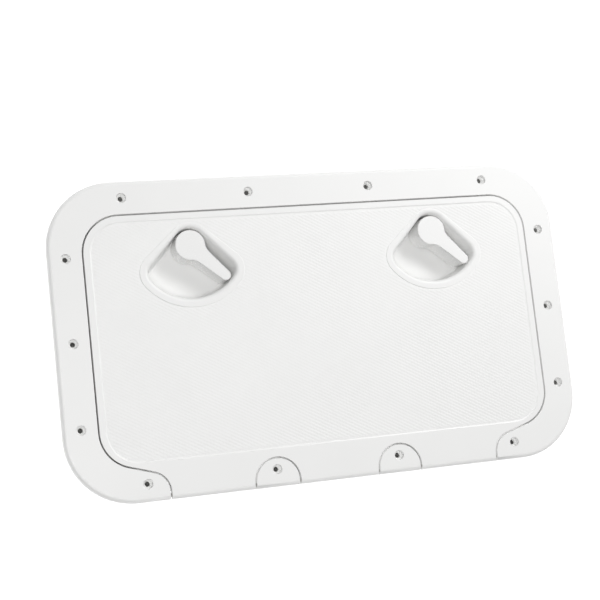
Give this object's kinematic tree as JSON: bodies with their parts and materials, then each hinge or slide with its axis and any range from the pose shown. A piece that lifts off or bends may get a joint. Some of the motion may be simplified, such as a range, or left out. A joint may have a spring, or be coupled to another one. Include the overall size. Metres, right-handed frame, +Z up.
{
  "type": "deck hatch",
  "caption": "Low rectangular inspection hatch: screw-down moulded frame with a rain gutter and a hinged lid held by recessed turning latches.",
  "frame": {"origin": "centre of the screw pattern, on the deck plane under the flange", "axes": "+X along the hinge, towards the right with the hinge nearest; +Y from the hinge to the latches; +Z up, out of the deck"},
  "size_m": [0.606, 0.353, 0.0485],
  "materials": {
    "frame_plastic": "satin moulded",
    "lid_plastic": "satin moulded, with a fine diamond non-slip field",
    "handle_plastic": "smooth moulded",
    "seal_rubber": "matt extruded",
    "bearing_plastic": "smooth",
    "cam_nylon": "glass-filled, matt",
    "insert_brass": "turned",
    "stainless": "drawn and turned"
  },
  "bodies": {
    "frame": {"frame": "frame_plastic", "lid_seal": "seal_rubber", "hinge_pin_1": "stainless", "hinge_pin_2": "stainless", "hinge_pin_3": "stainless", "hinge_pin_4": "stainless", "hinge_pin_5": "stainless", "hinge_pin_6": "stainless"},
    "lid": {"lid": "lid_plastic", "left_thrust_washer": "bearing_plastic", "right_thrust_washer": "bearing_plastic"},
    "left_latch": {"left_handle": "handle_plastic", "left_stem_seal": "seal_rubber", "left_stem_insert": "insert_brass", "left_cam": "cam_nylon", "left_cam_washer": "stainless", "left_lock_washer": "stainless", "left_cam_screw": "stainless"},
    "right_latch": {"right_handle": "handle_plastic", "right_stem_seal": "seal_rubber", "right_stem_insert": "insert_brass", "right_cam": "cam_nylon", "right_cam_washer": "stainless", "right_lock_washer": "stainless", "right_cam_screw": "stainless"}
  },
  "joints": [
    {"name": "lid_hinge", "type": "hinge", "parent": "frame", "child": "lid", "pos_m": [0, -0.17175, 0.00475], "axis": [1, 0, 0], "range_deg": [0, 180]},
    {"name": "left_latch_turn", "type": "hinge", "parent": "lid", "child": "left_latch", "pos_m": [-0.1447, 0.0998, 0], "axis": [0, 0, 1], "range_deg": [-90, 0]},
    {"name": "right_latch_turn", "type": "hinge", "parent": "lid", "child": "right_latch", "pos_m": [0.1447, 0.0998, 0], "axis": [0, 0, 1], "range_deg": [-90, 0]}
  ]
}
